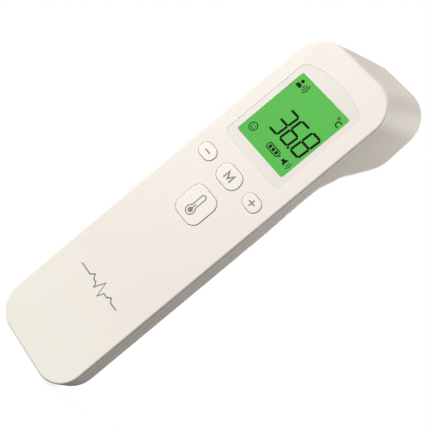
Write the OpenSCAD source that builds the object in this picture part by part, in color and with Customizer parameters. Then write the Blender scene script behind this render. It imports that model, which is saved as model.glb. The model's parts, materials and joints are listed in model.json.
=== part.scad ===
// Infrared forehead thermometer. A flat slab handle carries the display and the keys on its
// front, and a short horn at the head points the sensor away from the user.
// It is drawn standing on the end of its handle: the origin is the middle of that end,
// +Z runs up the handle, the front faces -Y and the sensor looks along +Y, tipped upwards.

/* [Casing] */
// Width of the front face
face_w = 42; // [42:0.5:45]
// Height of the front face
face_h = 152; // [151:1:156]
// Thickness of the handle, front to back
handle_t = 16; // [16:0.5:18]
// Corner radius at the bottom of the front face
bottom_r = 11; // [10:0.5:12]
// Corner radius at the top of the front face
top_r = 12; // [11.5:0.5:13.5]
// Rounding of the back edges of the handle
back_r = 7.5; // [7:0.5:7.5]
// Rounding round the edge of the front face
front_r = 0.8; // [0.6:0.1:1.2]
// Thickness of the casing walls
wall = 2; // [1.8:0.1:2]
// Depth of the seam between the two casings, behind the front face
seam = 5; // [5:0.1:5.4]

/* [Sensor horn] */
// Depth of the middle of the horn's end, behind the front face
horn_d = 42.5; // [41:0.5:44]
// Height of the middle of the horn's end
horn_z = 151; // [150:0.5:152]
// Height of the horn's end
horn_h = 36.5; // [35.5:0.5:37]
// Width of the horn's end
horn_w = 39.5; // [38.5:0.5:40.5]
// Angle by which the sensor looks up
horn_tilt = 10; // [6:1:12]
// Corner radius of the horn's end
horn_r = 13; // [12:0.5:14]
// Rounding round the edge of the horn's end
rim_r = 3.5; // [3:0.5:4]
// Height at which the underside of the horn leaves the handle
neck_z = 115.5; // [114:0.5:117]
// Radius of the curve between the handle and the horn
neck_r = 9.5; // [8.5:0.5:10.5]

/* [Display] */
// Width of the visible part of the display
lcd_w = 25; // [24:0.2:25.2]
// Height of the visible part of the display
lcd_h = 30.1; // [29.1:0.2:30.7]
// Height of the bottom of the visible part
lcd_z = 106.3; // [106:0.1:106.6]
// Width of the window over the display
window_w = 29.8; // [29.4:0.2:30.2]
// Radius of the arched top edge of the window
window_arch = 35; // [30:1:60]

/* [Keys] */
// Height of the middle of the row of three keys
row_z = 93.2; // [92.6:0.1:93.6]
// Distance from the middle key to the plus key
key_pitch = 12.7; // [12.4:0.1:13]
// Width of the minus and plus keys
small_key_w = 7.5; // [7:0.1:8]
// Height of the minus and plus keys
small_key_h = 5.5; // [5:0.1:6]
// Width of the mode key
mode_key_w = 10.6; // [10:0.1:11]
// Height of the mode key
mode_key_h = 7.4; // [7:0.1:7.6]
// Height of the middle of the measuring key
measure_z = 78.2; // [77.8:0.1:78.6]
// Width of the measuring key
measure_w = 12.2; // [11.4:0.1:12.6]
// Height of the measuring key
measure_h = 13; // [12.2:0.1:13.2]
// Height that the keys stand out of the face
key_proud = 0.35; // [0.3:0.05:0.6]
// Distance that a key travels
key_travel = 0.3; // [0.2:0.05:0.4]

/* [Battery bay] */
// Diameter of a battery cell
cell_d = 10.5; // [10.2:0.1:10.5]
// Length of a battery cell with its button
cell_l = 44.5; // [44:0.1:44.5]
// Distance between the axes of the two cells
cell_pitch = 11.6; // [11.2:0.1:11.6]
// Width of the battery door
door_w = 26.6; // [26:0.2:26.8]
// Height of the top of the battery door
door_top = 74; // [74:0.5:76]

/* [Hidden] */
$fn = 48;

// Colours
cream = "#f3ede2";
key_white = "#f6f3ec";
glow = "#63c457";
board_green = "#2f6b3c";
steel = "#c4c6c8";
gold = "#c9a24a";
dark = "#222428";

eps = 0.01;
// Play between a moving piece and what it moves in
play = 0.25;
half_w = face_w / 2;
handle_top = neck_z + 4.5;

// Display stack, as depths behind the front face
window_t = 1.1;
gasket_t = 0.4;
ledge_depth = window_t + gasket_t;
ledge_t = 1;
glass_w = lcd_w + 2;
glass_h = lcd_h + 2.7;
glass_t = 1.7;
glass_z = lcd_z - 1.9;
guide_depth = ledge_depth + glass_t + 0.1;
guide_t = 2;
window_z0 = lcd_z - 4;
window_z1 = lcd_z + lcd_h + 6;

// Circuit board
board_depth = 6.6;
board_t = 1.2;
board_back = board_depth + board_t;
board_w = 36;
board_z0 = door_top + 0.6;
board_z1 = 147;
boss_r = 2.1;
board_hole_r = 1.1;
board_holes = [[-15.6, 99.4], [15.6, 99.4], [-13.2, 142.5], [13.2, 142.5]];

// Keys and switches
key_edge = 0.2;
flange = 0.8;
flange_depth = wall + play;
flange_t = 0.8;
stem_r = 1.1;
switch_w = 4.5;
switch_t = 1.5;
plunger_t = 0.5;
plunger_depth = board_depth - switch_t - plunger_t;
stem_depth = plunger_depth - key_travel - 0.1;

// Battery bay
door_t = 1.7;
door_depth = handle_t - door_t;
bay_half_w = (cell_pitch + cell_d) / 2 + 0.4;
bay_wall = 1.1;
bay_z0 = 11.5;
bay_z1 = bay_z0 + cell_l + 7.5;
cell_depth = door_depth - 0.3 - cell_d / 2;
bay_floor = cell_depth - cell_d / 2 - 0.25;
ledge_back = door_depth - 0.3;
rail_w = 1;
rail_t = 0.6;
contact_t = 0.4;
spring_l = 5.6;
nub_r = 1.9;
nub_l = 0.8;
left_cell_z = bay_z0 + contact_t + spring_l + 0.1;
right_cell_z = bay_z0 + contact_t + 0.4;

// Screws that hold the casings together, under the battery door
casing_screw_at = [[-9, door_top - 4.6], [9, door_top - 4.6], [0, 6.2]];
screw_r = 1.1;
screw_head_r = 2.1;
screw_head_t = 1.2;
screw_seat = ledge_back - screw_head_t - 0.1;
pad_t = 1.4;

// Sensor, as distances inwards from the horn's end along the sensor axis
nozzle_r = 10.3;
nozzle_l = 8.5;
mouth_r = 8.6;
throat_r = 5.2;
collar_r = 11.6;
collar_t = 0.9;
gasket_at = nozzle_l + 0.1;
can_at = gasket_at + 1.6;
can_r = 4.1;
can_l = 4.2;
brim_r = 4.6;
sleeve_r = 7;
sleeve_l = 9;
header_at = can_at + can_l;
pins_l = 6.6;
sensor_board_at = header_at + 4.9;
clamp_at = gasket_at + 1.4 + 7;

// The y coordinate of a depth behind the front face
function at_depth(f) = f - handle_t / 2;

// ---------- Drawing helpers ----------

// Draws a figure of the XZ plane as a slab between two depths
module slab(f0, f1) {
    translate([0, at_depth(f1), 0]) rotate([90, 0, 0]) linear_extrude(f1 - f0) children();
}

// Draws a figure of the YZ plane across a width, centred on X = 0
module across(w) {
    translate([-w / 2, 0, 0]) rotate([90, 0, 90]) linear_extrude(w) children();
}

// A box given by its X range, depth range and Z range
module block(x, f, z) {
    translate([x[0], at_depth(f[0]), z[0]]) cube([x[1] - x[0], f[1] - f[0], z[1] - z[0]]);
}

// A round bar along Y between two depths
module rod(x, z, f0, f1, r) {
    translate([x, at_depth(f1), z]) rotate([90, 0, 0]) cylinder(h = f1 - f0, r = r);
}

// A rectangle with its lower and upper corners rounded by different radii
module rounded(x0, x1, y0, y1, r0, r1) {
    translate([x0, y0 + r0]) square([x1 - x0, y1 - y0 - r0 - r1]);
    translate([x0 + r0, y0]) square([x1 - x0 - 2 * r0, r0 + eps]);
    translate([x0 + r1, y1 - r1 - eps]) square([x1 - x0 - 2 * r1, r1 + eps]);
    for (x = [x0 + r0, x1 - r0]) translate([x, y0 + r0]) circle(r0);
    for (x = [x0 + r1, x1 - r1]) translate([x, y1 - r1]) circle(r1);
}

// A rounded rectangle about the point (0, z)
module plate_at(w, h, z, r) {
    rounded(-w / 2, w / 2, z - h / 2, z + h / 2, r, r);
}

// A wire through a list of points
module wire(path, r) {
    for (i = [0 : len(path) - 2]) {
        run = path[i + 1] - path[i];
        flat = norm([run.x, run.y]);
        translate(path[i]) rotate([0, atan2(flat, run.z), atan2(run.y, run.x)])
            cylinder(h = norm(run), r = r, $fn = 16);
    }
    for (i = [1 : len(path) - 2]) translate(path[i]) sphere(r * 1.08, $fn = 16);
}

// Puts its children on the sensor axis, with +Z outwards and Z = 0 at the horn's end
module on_sensor_axis() {
    translate([0, at_depth(horn_d), horn_z]) rotate([horn_tilt - 90, 0, 0]) children();
}

// A turned piece: its profile is drawn as radius against distance inwards from the horn's end
module turned() {
    on_sensor_axis() mirror([0, 0, 1]) rotate_extrude() children();
}

// ---------- Outer form ----------

// The handle up to a little above the neck, shrunk all round by inset
module handle_form(inset) {
    back = handle_t - inset;
    rb = back_r - inset;
    rf = max(front_r - inset, 0.3);
    intersection() {
        slab(inset, back)
            rounded(inset - half_w, half_w - inset, inset, handle_top + 30, bottom_r - inset, 1);
        linear_extrude(handle_top)
            rounded(inset - half_w, half_w - inset, at_depth(inset), at_depth(back), rf, rb);
        across(face_w + 2) union() {
            translate([at_depth(inset), inset + rb])
                square([back - inset, handle_top - inset - rb]);
            translate([at_depth(inset) + rf, inset])
                square([back - inset - rf - rb, rb + eps]);
            translate([at_depth(inset), inset + rf]) square([rf + eps, rb - rf + eps]);
            translate([at_depth(inset) + rf, inset + rf]) circle(rf);
            translate([at_depth(back) - rb, inset + rb]) circle(rb);
        }
    }
}

// Side view of the horn, as [depth, height] points
tilt_up = [-sin(horn_tilt), cos(horn_tilt)];
end_mid = [horn_d, horn_z];
end_high = end_mid + tilt_up * horn_h / 2;
end_low = end_mid - tilt_up * horn_h / 2;
under_angle = atan2(end_low.y - neck_z, end_low.x - handle_t);
top_angle = atan2(end_high.y - face_h, end_high.x);
neck_run = neck_r * tan((90 - under_angle) / 2);
neck_end = handle_t + neck_run * cos(under_angle);

// Height of the underside at a depth: level inside the handle, then the neck curve, then straight
function under_z(f) =
    f <= handle_t ? neck_z - neck_run :
    f < neck_end ? neck_z - neck_run + sqrt(neck_r ^ 2 - (handle_t + neck_r - f) ^ 2) :
    neck_z + (f - handle_t) * tan(under_angle);

// Depth of a ring's highest point: rings stand upright as far as the seam, then lean back
function high_depth(f) =
    f <= seam ? f : seam + (f - seam) * (end_high.x - seam) / (end_low.x - seam);
function top_z(f) = face_h + f * (end_high.y - face_h) / end_high.x;

// How far the head is rounded in at its front edge
function front_inset(f) =
    f >= front_r ? 0 : front_r - sqrt(front_r ^ 2 - (front_r - f) ^ 2);
function share(f) = max(0, (f - back_r - seam) / (end_low.x - back_r - seam));
function blend(a, b, s) = a + (b - a) * s;

// One corner of a ring, as [x, distance up the ring] points
corner_steps = 7;
function corner(x, v, r, start) =
    [for (i = [0 : corner_steps]) let(a = start + i * 90 / corner_steps)
        [x + r * cos(a), v + r * sin(a)]];

// A ring of the head between two points of the side view, shrunk by inset
function ring(low, high, w, r0, r1, inset) =
    let(
        up = (high - low) / norm(high - low),
        base = low + up * inset,
        tall = norm(high - low) - 2 * inset,
        hw = w - inset,
        ra = r0 - inset,
        rb = r1 - inset,
        flat = concat(
            corner(hw - ra, ra, ra, -90), corner(hw - rb, tall - rb, rb, 0),
            corner(rb - hw, tall - rb, rb, 90), corner(ra - hw, ra, ra, 180))
    )
    [for (p = flat) [p.x, at_depth(base.x + up.x * p.y), base.y + up.y * p.y]];

// The ring whose lowest point is at a given depth
function head_ring(f, inset) =
    ring([f, under_z(f)], [high_depth(f), top_z(high_depth(f))],
        blend(half_w, horn_w / 2, share(f)), blend(10, horn_r, share(f)),
        blend(top_r, horn_r, share(f)), inset + front_inset(f));

// A ring of the horn a distance inwards from its end, on the lines of its top and underside
function end_ring(in, inset) =
    let(
        low = in / cos(under_angle - horn_tilt),
        high = in / cos(top_angle - horn_tilt)
    )
    ring(end_low - low * [cos(under_angle), sin(under_angle)],
        end_high - high * [cos(top_angle), sin(top_angle)],
        horn_w / 2, horn_r, horn_r, inset);

// A ring of the rounded rim of the horn's end, at an angle round the rounding
function rim_ring(angle, inset) =
    end_ring(rim_r * (1 - sin(angle)) + inset, inset + rim_r * (1 - cos(angle)));

// A solid skinned over a list of rings
module skin(rings) {
    n = len(rings[0]);
    last = len(rings) - 1;
    polyhedron(
        points = [for (r = rings) each r],
        faces = concat(
            [[for (i = [n - 1 : -1 : 0]) i]],
            [for (k = [0 : last - 1], i = [0 : n - 1]) let(j = (i + 1) % n)
                each [[k * n + i, (k + 1) * n + j, (k + 1) * n + i],
                    [k * n + i, k * n + j, (k + 1) * n + j]]],
            [[for (i = [0 : n - 1]) last * n + i]])
    );
}

front_depths = [for (a = [0 : 18 : 72]) front_r * (1 - cos(a))];
neck_depths = [for (s = [0, 0.08, 0.25, 0.55, 1]) handle_t + (neck_end - handle_t) * s];
rear_depths = [for (s = [0.34, 0.68]) blend(neck_end, end_low.x - rim_r, s)];
rim_angles = [0, 22.5, 45, 67.5, 90];

// The part of the head in front of the seam
module head_front() {
    skin([for (f = concat(front_depths, [front_r, seam])) head_ring(f, 0)]);
}

// The part of the head behind the seam
module head_rear() {
    skin(concat(
        [for (f = concat([seam, seam + back_r], neck_depths, rear_depths)) head_ring(f, 0)],
        [for (a = rim_angles) rim_ring(a, 0)]));
}

// The hollow of the head, from just behind the face to just inside the horn's end
module head_hollow() {
    skin(concat(
        [for (f = concat([wall, seam, seam + back_r], neck_depths, rear_depths))
            head_ring(f, wall)],
        [for (a = [0, 45, 90]) rim_ring(a, wall)]));
}

module hollow() {
    handle_form(wall);
    head_hollow();
}

// Everything in front of, or behind, a depth
module in_front_of(f) {
    block([-40, 40], [-10, f], [-5, 180]);
}
module behind(f) {
    block([-40, 40], [f, 80], [-5, 180]);
}

// ---------- Casings ----------

// Outline of the display window, grown by a clearance
module window_outline(grow) {
    intersection() {
        rounded(-window_w / 2 - grow, window_w / 2 + grow, window_z0 - grow,
            window_z1 + grow, 2.5 + grow, 4 + grow);
        translate([0, window_z1 - window_arch]) circle(window_arch + grow, $fn = 120);
    }
}

// Outline of a key's cap in its place on the face, grown by a clearance
module key_shape(name, grow) {
    r = 0.47; // corner radius as a share of the height
    if (name == "minus") translate([-key_pitch, 0])
        plate_at(small_key_w + 2 * grow, small_key_h + 2 * grow, row_z, small_key_h * r + grow);
    if (name == "plus") translate([key_pitch, 0])
        plate_at(small_key_w + 2 * grow, small_key_h + 2 * grow, row_z, small_key_h * r + grow);
    if (name == "mode")
        plate_at(mode_key_w + 2 * grow, mode_key_h + 2 * grow, row_z, mode_key_h * r + grow);
    if (name == "measure")
        plate_at(measure_w + 2 * grow, measure_h + 2 * grow, measure_z, 3.6 + grow);
}
key_names = ["minus", "mode", "plus", "measure"];
function key_x(name) = name == "minus" ? -key_pitch : name == "plus" ? key_pitch : 0;
function key_z(name) = name == "measure" ? measure_z : row_z;

// Inner edge of the casings at the seam, shrunk by inset
module seam_outline(inset) {
    rounded(inset - half_w, half_w - inset, inset, top_z(seam) - inset,
        bottom_r - inset, top_r - inset);
}

module front_casing() {
    color(cream) {
        difference() {
            union() {
                intersection() {
                    handle_form(0);
                    in_front_of(seam - 0.15);
                }
                intersection() {
                    head_front();
                    in_front_of(seam - 0.15);
                }
            }
            hollow();
            slab(-eps, ledge_depth) window_outline(0.1);
            slab(0, wall + eps + ledge_t)
                plate_at(glass_w + 0.5, glass_h + 0.5, glass_z + glass_h / 2, 0.4);
            for (name = key_names) slab(-1, wall + eps) key_shape(name, play);
        }
        // Ledge that carries the window, round the display glass
        difference() {
            slab(ledge_depth, ledge_depth + ledge_t) window_outline(1);
            slab(0, wall + 2)
                plate_at(glass_w + 0.5, glass_h + 0.5, glass_z + glass_h / 2, 0.4);
        }
        // Tongue that fits inside the rear casing
        slab(wall + 1, seam + 1.5) difference() {
            seam_outline(wall + 0.1);
            seam_outline(wall + 1.1);
        }
        for (p = board_holes) difference() {
            rod(p.x, p.y, wall - eps, board_depth, boss_r);
            rod(p.x, p.y, wall + 0.6, board_depth + 1, 0.85);
        }
        for (p = casing_screw_at) difference() {
            rod(p.x, p.y, wall - eps, screw_seat - pad_t - 0.1, 2.7);
            rod(p.x, p.y, wall + 0.6, screw_seat, screw_r - 0.05);
        }
    }
}

// The tray that holds the two cells, open at the back
module battery_tray() {
    difference() {
        block([-bay_half_w - bay_wall, bay_half_w + bay_wall],
            [bay_floor - bay_wall, ledge_back], [bay_z0 - bay_wall, bay_z1 + bay_wall]);
        block([-bay_half_w, bay_half_w], [bay_floor, handle_t], [bay_z0, bay_z1]);
    }
}

// Where the battery door goes, with its rails, grown by a clearance
module door_space(grow) {
    block([-door_w / 2 - grow, door_w / 2 + grow],
        [door_depth - grow, handle_t + 1], [-1, door_top + grow]);
    block([-door_w / 2 - rail_w - grow, door_w / 2 + rail_w + grow],
        [door_depth - grow, door_depth + rail_t + grow], [-1, door_top + grow]);
}

module rear_casing() {
    color(cream) difference() {
        union() {
            difference() {
                union() {
                    intersection() {
                        handle_form(0);
                        behind(seam);
                    }
                    head_rear();
                }
                hollow();
            }
            // Plate behind the door, and the tray that opens through it
            intersection() {
                handle_form(wall - 0.3);
                block([-half_w, half_w], [ledge_back - 1.2, ledge_back + 0.3],
                    [0, door_top + 3]);
            }
            battery_tray();
            for (p = casing_screw_at)
                rod(p.x, p.y, screw_seat - pad_t, ledge_back, 3.4);
            // Lugs that the sensor clamp screws into
            intersection() {
                on_sensor_axis() for (x = [-1, 1]) translate([x * 13.2, 0, -clamp_at])
                    cylinder(h = clamp_at - 1, r = 2.2);
                head_rear();
            }
        }
        block([-bay_half_w, bay_half_w], [bay_floor, handle_t], [bay_z0, bay_z1]);
        door_space(0.3);
        for (p = casing_screw_at) {
            rod(p.x, p.y, 0, handle_t, screw_r + 0.15);
            rod(p.x, p.y, screw_seat, handle_t, screw_head_r + 0.25);
        }
        on_sensor_axis() {
            translate([0, 0, -wall - 2]) cylinder(h = wall + 4, r = nozzle_r + 0.1);
            translate([0, 0, -collar_t]) cylinder(h = 4, r = collar_r + 0.1);
            for (x = [-1, 1]) translate([x * 13.2, 0, -clamp_at - 1])
                cylinder(h = 8, r = 0.85);
        }
    }
}

// Slides down off the back of the handle on its two rails
module battery_door() {
    grip_at = [for (i = [0 : 4]) door_top - 10 - 2.4 * i];
    color(cream) difference() {
        union() {
            intersection() {
                handle_form(0);
                block([-door_w / 2, door_w / 2], [door_depth, handle_t + 1], [0, door_top]);
            }
            intersection() {
                handle_form(0.3);
                block([-door_w / 2 - rail_w, door_w / 2 + rail_w],
                    [door_depth, door_depth + rail_t], [0, door_top]);
            }
        }
        for (z = grip_at) block([-7, 7], [handle_t - 0.5, handle_t + 1], [z, z + 1.1]);
    }
}

// ---------- Display ----------

module display_window() {
    color("#e9efe6", 0.4) slab(0.05, window_t) window_outline(0);
}

module window_gasket() {
    color(key_white) slab(window_t, ledge_depth) difference() {
        window_outline(-0.1);
        plate_at(lcd_w, lcd_h, lcd_z + lcd_h / 2, 0.6);
    }
}

module lcd_panel() {
    color(glow) slab(ledge_depth, ledge_depth + glass_t)
        plate_at(glass_w, glass_h, glass_z + glass_h / 2, 0.2);
}

module lcd_backlight() {
    color("#dff0d8") block([-glass_w / 2 + 0.3, glass_w / 2 - 0.3],
        [guide_depth, guide_depth + guide_t], [glass_z + 3, glass_z + glass_h - 0.3]);
}

module backlight_leds() {
    color("#d9f2c4") for (x = [-7, 7])
        block([x - 1.6, x + 1.6], [guide_depth + guide_t + 0.1, board_depth],
            [glass_z + glass_h - 2.6, glass_z + glass_h - 1]);
}

module lcd_holder() {
    outer_w = glass_w + 2.6;
    color(key_white) slab(ledge_depth + ledge_t + 0.1, board_depth) difference() {
        plate_at(outer_w, glass_h + 3, glass_z + glass_h / 2, 1);
        plate_at(glass_w + 0.4, glass_h + 0.4, glass_z + glass_h / 2, 0.2);
    }
}

module zebra_strip() {
    color("#8d8f93") block([-glass_w / 2 + 0.5, glass_w / 2 - 0.5],
        [ledge_depth + glass_t, board_depth], [glass_z + 0.4, glass_z + 2.4]);
}

// ---------- Keys ----------

// A key cap with its flange behind the casing and its stem over the switch
module key(name) {
    color(key_white) {
        slab(-key_proud + key_edge, flange_depth + eps) key_shape(name, 0);
        slab(-key_proud, -key_proud + key_edge + eps) key_shape(name, -key_edge);
        slab(flange_depth, flange_depth + flange_t) key_shape(name, flange);
        rod(key_x(name), key_z(name), flange_depth, stem_depth, stem_r);
    }
}
module minus_button() key("minus");
module mode_button() key("mode");
module plus_button() key("plus");
module measure_button() key("measure");

module tact_switches() {
    for (name = key_names) translate([key_x(name), 0, key_z(name)]) {
        color(steel) block([-switch_w / 2, switch_w / 2], [board_depth - switch_t, board_depth],
            [-switch_w / 2, switch_w / 2]);
        color(dark) rod(0, 0, plunger_depth, board_depth - switch_t + eps, 1);
    }
}

// ---------- Circuit board ----------

module main_board() {
    color(board_green) slab(board_depth, board_back) difference() {
        rounded(-board_w / 2, board_w / 2, board_z0, board_z1, 1.5, 7);
        for (p = board_holes) translate(p) circle(board_hole_r);
    }
}

// A chip on the back of the board with legs along two sides
module chip(x, z, w, h, t, legs) {
    color(dark) block([x - w / 2, x + w / 2], [board_back + 0.1, board_back + t],
        [z - h / 2, z + h / 2]);
    color(steel) for (i = [0 : legs - 1]) {
        leg_z = z + (i - (legs - 1) / 2) * h / legs;
        block([x - w / 2 - 0.9, x + w / 2 + 0.9], [board_back, board_back + 0.25],
            [leg_z - 0.18, leg_z + 0.18]);
    }
}
module controller_chip() chip(0, 112, 10, 10, 1.5, 9);
module memory_chip() chip(-9, 96, 3.9, 4.9, 1.4, 4);

module chip_components() {
    spots = [[10, 96], [10, 99], [10, 102], [-12, 108], [-12, 111], [12, 115], [12, 118],
        [-4, 99], [0, 99], [4, 99], [-12, 122], [-12, 125]];
    color("#b08a5a") for (p = spots)
        block([p.x - 1, p.x + 1], [board_back, board_back + 0.6], [p.y - 0.6, p.y + 0.6]);
    color(steel) block([3, 7.8], [board_back, board_back + 1.4], [88.5, 90.5]);
}

module buzzer() {
    color(dark) difference() {
        rod(-8.5, 134, board_back, board_back + 4.2, 6);
        rod(-8.5, 134, board_back + 3.4, board_back + 5, 1);
    }
}

module sensor_plug() {
    color("#e8e4d8") difference() {
        block([4, 14], [board_back, board_back + 4], [129, 134]);
        block([4.8, 13.2], [board_back + 0.8, board_back + 5], [129.8, 133.2]);
    }
}

module board_screws() {
    color(steel) for (p = board_holes) difference() {
        union() {
            rod(p.x, p.y, board_depth - 3.2, board_back + eps, 0.8);
            rod(p.x, p.y, board_back, board_back + 1.1, 1.9);
        }
        screw_cross(p.x, p.y, board_back + 0.5, 1.9);
    }
}

module casing_screws() {
    color(steel) for (p = casing_screw_at) difference() {
        union() {
            rod(p.x, p.y, wall + 1.5, screw_seat + eps, screw_r - 0.1);
            rod(p.x, p.y, screw_seat, screw_seat + screw_head_t, screw_head_r);
        }
        screw_cross(p.x, p.y, screw_seat + 0.6, screw_head_r);
    }
}

// The cross-shaped driver recess of a screw head
module screw_cross(x, z, f, r) {
    for (a = [0, 90]) translate([x, at_depth(f), z]) rotate([0, a, 0])
        translate([-r * 0.6, 0, -0.2]) cube([r * 1.2, 2, 0.4]);
}

// ---------- Batteries ----------

// A cell standing on its flat end at a height, or on its button when flipped
module cell(x, z, flipped) {
    translate([x, at_depth(cell_depth), z + (flipped ? cell_l : 0)])
        mirror([0, 0, flipped ? 1 : 0]) {
            color("#3c6fb0") cylinder(h = cell_l - nub_l, r = cell_d / 2);
            color(steel) cylinder(h = cell_l, r = nub_r);
        }
}
module battery_left() cell(-cell_pitch / 2, left_cell_z, false);
module battery_right() cell(cell_pitch / 2, right_cell_z, true);

// A coil spring, drawn as a cone of rings that are joined by short posts
module contact_spring(x, z) {
    turns = 5;
    coil_r = 0.32;
    pitch = (spring_l - 2 * coil_r) / (turns - 1);
    translate([x, at_depth(cell_depth), z]) {
        for (i = [0 : turns - 1]) translate([0, 0, coil_r + i * pitch])
            rotate_extrude() translate([3.2 - 0.25 * i, 0]) circle(coil_r, $fn = 16);
        for (i = [0 : turns - 2]) rotate([0, 0, i * 180])
            translate([3.2 - 0.25 * i - 0.12, 0, coil_r + i * pitch])
                cylinder(h = pitch, r = coil_r, $fn = 16);
    }
}

// A sprung leaf of contact plate against an end wall of the bay
module contact_plate(x, w, z) {
    block([x - w / 2, x + w / 2], [cell_depth - 4.2, cell_depth + 4.2], [z, z + contact_t]);
}

module battery_contact_positive() {
    top = bay_z1 - contact_t - 0.05;
    color(steel) {
        contact_plate(-cell_pitch / 2, 8, top);
        translate([-cell_pitch / 2, at_depth(cell_depth), left_cell_z + cell_l])
            cylinder(h = top - left_cell_z - cell_l + eps, r = 1.6);
    }
}

module battery_contact_negative() {
    top = bay_z1 - contact_t - 0.05;
    color(steel) {
        contact_plate(cell_pitch / 2, 8, top);
        translate([0, 0, 2 * top - spring_l + eps]) mirror([0, 0, 1])
            contact_spring(cell_pitch / 2, top - spring_l);
    }
}

module battery_bridge() {
    floor_z = bay_z0 + 0.05;
    color(steel) {
        contact_plate(0, cell_pitch + 8, floor_z);
        contact_spring(-cell_pitch / 2, floor_z + contact_t - eps);
        translate([cell_pitch / 2, at_depth(cell_depth), floor_z])
            cylinder(h = right_cell_z - floor_z, r = 1.6);
    }
}

// Leads from the two upper contacts to the board
lead_r = 0.6;
module battery_lead(x, board_x) {
    start_z = bay_z1 + bay_wall + 0.3;
    wire([
        [x, at_depth(9.2), start_z], [x, at_depth(9.2), start_z + 2.4],
        [x * 0.35, at_depth(9.6), door_top + 1], [board_x, at_depth(9), door_top + 5],
        [board_x, at_depth(board_back + lead_r), door_top + 8]
    ], lead_r);
}
module battery_wire_red() color("#c23a33") mirror([1, 0, 0]) battery_lead(4, 3.5);
module battery_wire_black() color(dark) battery_lead(4, 3.5);

// ---------- Sensor ----------

module sensor_nozzle() {
    color(key_white) turned() polygon([
        [mouth_r, 0], [collar_r, 0], [collar_r, collar_t], [nozzle_r, collar_t],
        [nozzle_r, nozzle_l], [throat_r, nozzle_l], [throat_r, nozzle_l - 1.5],
        [mouth_r - 0.4, 0.5]]);
}

module sensor_gasket() {
    color("#3a3c40") turned() translate([5.4, gasket_at]) square([1.8, 1.2]);
}

module sensor_sleeve() {
    color(gold) turned() polygon([
        [can_r + 0.1, gasket_at + 1.3], [sleeve_r, gasket_at + 1.3],
        [sleeve_r, gasket_at + 1.3 + sleeve_l], [brim_r + 0.1, gasket_at + 1.3 + sleeve_l],
        [brim_r + 0.1, header_at - 0.6], [can_r + 0.1, header_at - 0.6]]);
}

module sensor_can() {
    color(steel) turned() polygon([
        [1.3, can_at], [can_r, can_at], [can_r, header_at - 0.5], [brim_r, header_at - 0.5],
        [brim_r, header_at - 0.1], [can_r - 0.3, header_at - 0.1],
        [can_r - 0.3, can_at + 0.3], [1.3, can_at + 0.3]]);
}

module sensor_filter() {
    color("#4a4f5c") turned() translate([0, can_at + 0.35]) square([2.2, 0.4]);
}

module sensor_header() {
    color(steel) turned() translate([0, header_at]) square([brim_r, 0.8]);
}

module sensor_pins() {
    color(gold) on_sensor_axis() for (a = [45 : 90 : 315])
        translate([2.6 * cos(a), 2.6 * sin(a), -header_at - pins_l])
            cylinder(h = pins_l - 0.8, r = 0.23, $fn = 16);
}

module sensor_board() {
    color(board_green) on_sensor_axis() translate([0, 0, -sensor_board_at - 1]) difference() {
        cylinder(h = 1, r = 6.2);
        for (a = [45 : 90 : 315]) translate([2.6 * cos(a), 2.6 * sin(a), -1])
            cylinder(h = 3, r = 0.3, $fn = 16);
    }
}

// Bar that holds the sleeve into the nozzle, screwed to two lugs of the rear casing
module sensor_clamp() {
    color(dark) on_sensor_axis() translate([0, 0, -clamp_at - 1.7]) difference() {
        linear_extrude(1.6) plate_at(31, 17, 0, 3);
        translate([0, 0, -1]) cylinder(h = 4, r = sleeve_r + 0.1);
        for (x = [-1, 1]) translate([x * 13.2, 0, -1]) cylinder(h = 4, r = 1);
    }
}

module clamp_screws() {
    color(steel) on_sensor_axis() for (x = [-1, 1]) translate([x * 13.2, 0, -clamp_at - 1.7]) {
        translate([0, 0, -1.1]) cylinder(h = 1.1, r = 1.8);
        translate([0, 0, -0.5]) cylinder(h = 5.5, r = 0.8);
    }
}

module sensor_wires() {
    colours = ["#c23a33", "#d8d4c8", "#2c5fa8"];
    board_y = at_depth(horn_d) - (sensor_board_at + 1.6) * cos(horn_tilt);
    board_z = horn_z - (sensor_board_at + 1.6) * sin(horn_tilt);
    for (i = [0 : 2]) color(colours[i]) {
        x = (i - 1) * 2.4;
        wire([
            [x, board_y, board_z - 3], [x + 1.5, board_y - 2.2, board_z - 6.5],
            [x + 5, at_depth(board_back + 7), 136], [x + 9, at_depth(board_back + 5.6), 131.5],
            [x + 9, at_depth(board_back + 1.8), 131.5]
        ], 0.5);
    }
}

front_casing();
rear_casing();
battery_door();
display_window();
window_gasket();
lcd_panel();
lcd_backlight();
backlight_leds();
lcd_holder();
zebra_strip();
minus_button();
mode_button();
plus_button();
measure_button();
main_board();
tact_switches();
controller_chip();
memory_chip();
chip_components();
buzzer();
sensor_plug();
board_screws();
casing_screws();
battery_left();
battery_right();
battery_contact_positive();
battery_contact_negative();
battery_bridge();
battery_wire_red();
battery_wire_black();
sensor_nozzle();
sensor_gasket();
sensor_sleeve();
sensor_can();
sensor_filter();
sensor_header();
sensor_pins();
sensor_board();
sensor_clamp();
clamp_screws();
sensor_wires();
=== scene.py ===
"""Looks of the infrared forehead thermometer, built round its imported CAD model.

Shapes are worked out in millimetres in the CAD frame (+Z up the handle, front face towards -Y)
and turned into metres when a mesh is made.
"""
import json
import math

import bmesh
import bpy
import numpy as np
from mathutils import Matrix, Vector


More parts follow.
